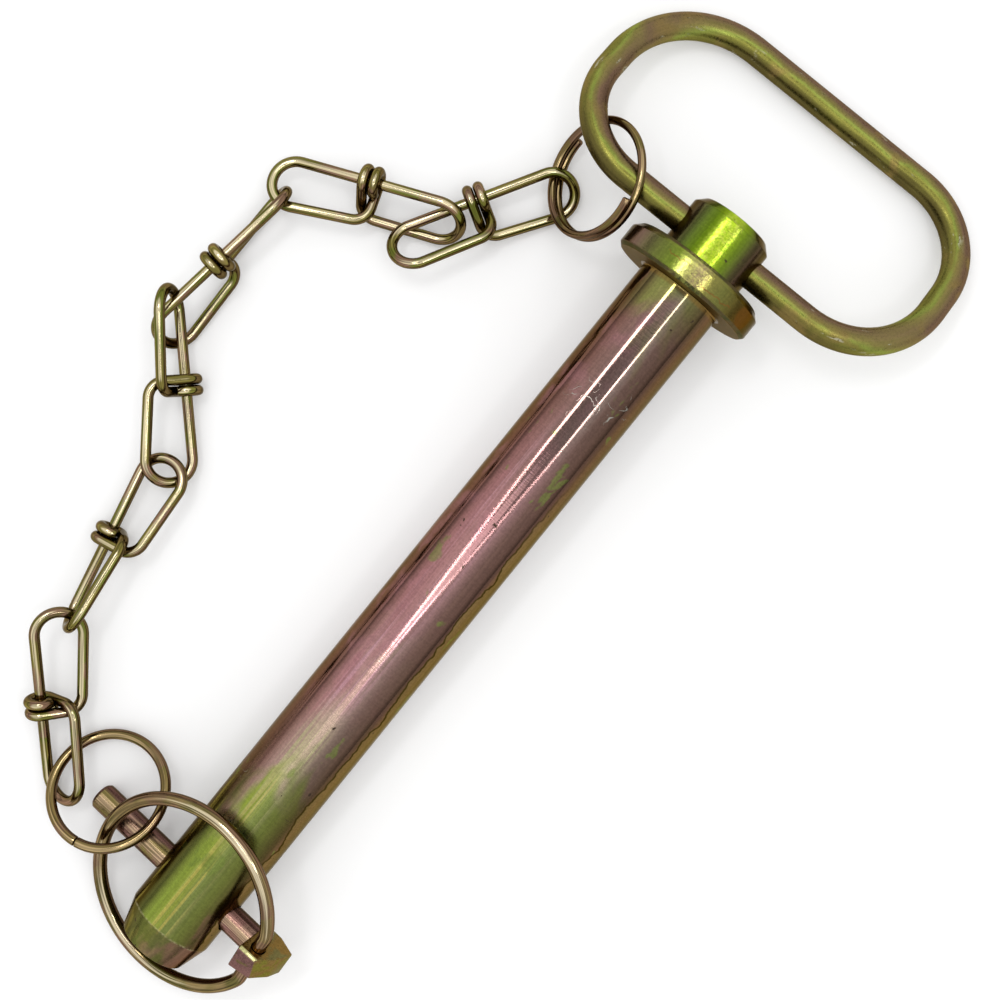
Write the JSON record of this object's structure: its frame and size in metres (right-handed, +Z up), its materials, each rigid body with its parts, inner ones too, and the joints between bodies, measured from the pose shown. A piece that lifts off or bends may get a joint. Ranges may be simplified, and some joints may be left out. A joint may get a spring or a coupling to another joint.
{
  "type": "boom hitch pin",
  "caption": "Collared steel hitch pin with a folding wire bail handle, a snap-ring linch pin through its tip, and a knotted wire chain that tethers the linch pin to the handle.",
  "frame": {"origin": "on the pin's axis, at the bearing face of its collar", "axes": "+X runs level along the lying pin towards its tip, so the pin's own axis dips 2.3 degrees below +X; +Z is up from the surface it lies on; +Y is across the pin, away from the chain"},
  "size_m": [0.3173, 0.176, 0.0436],
  "materials": {
    "pin": "yellow zinc plated, worn",
    "handle": "yellow zinc plated, worn",
    "split_ring": "yellow zinc plated, worn",
    "chain_link": "yellow zinc plated, worn",
    "joining_ring": "yellow zinc plated, worn",
    "linch_pin": "yellow zinc plated, worn",
    "linch_ring": "yellow zinc plated, worn"
  },
  "bodies": {
    "pin": {"pin": "pin"},
    "handle": {"handle": "handle"},
    "split_ring": {"split_ring": "split_ring"},
    "link_1": {"link_1": "chain_link"},
    "link_2": {"link_2": "chain_link"},
    "link_3": {"link_3": "chain_link"},
    "link_4": {"link_4": "chain_link"},
    "link_5": {"link_5": "chain_link"},
    "link_6": {"link_6": "chain_link"},
    "joining_ring": {"joining_ring": "joining_ring"},
    "linch_pin": {"linch_pin": "linch_pin"},
    "linch_ring": {"linch_ring": "linch_ring"}
  },
  "joints": [
    {"name": "handle_swing", "type": "hinge", "parent": "pin", "child": "handle", "pos_m": [-0.01599, 0, 0.00064], "axis": [0, 1, 0], "range_deg": [0, 180]},
    {"name": "linch_slide", "type": "slide", "parent": "pin", "child": "linch_pin", "axis": [-0.0093, -0.9724, -0.2333], "range_m": [-0.0025, 0.0025]},
    {"name": "ring_open", "type": "hinge", "parent": "linch_pin", "child": "linch_ring", "pos_m": [0.2158, 0.02352, 0.00178], "axis": [-0.8892, -0.0987, 0.4468], "range_deg": [0, 1.5]},
    {"name": "split_ring_swing", "type": "hinge", "parent": "pin", "child": "split_ring", "pos_m": [-0.0224, -0.0437, -0.0063], "axis": [0.8331, -0.0827, -0.5469], "range_deg": [0, 45]},
    {"name": "link_1_swing", "type": "hinge", "parent": "split_ring", "child": "link_1", "pos_m": [-0.0093, -0.045, -0.0149], "axis": [0.8331, -0.0827, -0.5469], "range_deg": [-45, 0]},
    {"name": "link_2_swing", "type": "hinge", "parent": "link_1", "child": "link_2", "pos_m": [0.0295, -0.0739, -0.0178], "axis": [0.5571, -0.8291, 0.0471], "range_deg": [-45, 4]},
    {"name": "link_3_swing", "type": "hinge", "parent": "link_2", "child": "link_3", "pos_m": [0.0508, -0.1056, -0.016], "axis": [0.5571, -0.8291, 0.0471], "range_deg": [-4, 45]},
    {"name": "link_4_swing", "type": "hinge", "parent": "link_3", "child": "link_4", "pos_m": [0.0928, -0.1007, -0.0095], "axis": [0.8754, 0.4828, 0.0226], "range_deg": [-12, 2]},
    {"name": "link_5_swing", "type": "hinge", "parent": "link_4", "child": "link_5", "pos_m": [0.1316, -0.0793, -0.0085], "axis": [0.8754, 0.4828, 0.0226], "range_deg": [-2, 12]},
    {"name": "link_6_swing", "type": "hinge", "parent": "link_5", "child": "link_6", "pos_m": [0.1752, -0.0746, -0.0107], "axis": [0.8355, 0.5432, -0.0829], "range_deg": [-22, 35]},
    {"name": "joining_ring_swing", "type": "hinge", "parent": "link_6", "child": "joining_ring", "pos_m": [0.2135, -0.0497, -0.0145], "axis": [0.8355, 0.5432, -0.0829], "range_deg": [-35, 22]}
  ],
  "couplings": [
    {"joint": "link_1_swing", "follows": "split_ring_swing", "ratio": -1},
    {"joint": "link_3_swing", "follows": "link_2_swing", "ratio": -1},
    {"joint": "link_5_swing", "follows": "link_4_swing", "ratio": -1},
    {"joint": "joining_ring_swing", "follows": "link_6_swing", "ratio": -1}
  ]
}
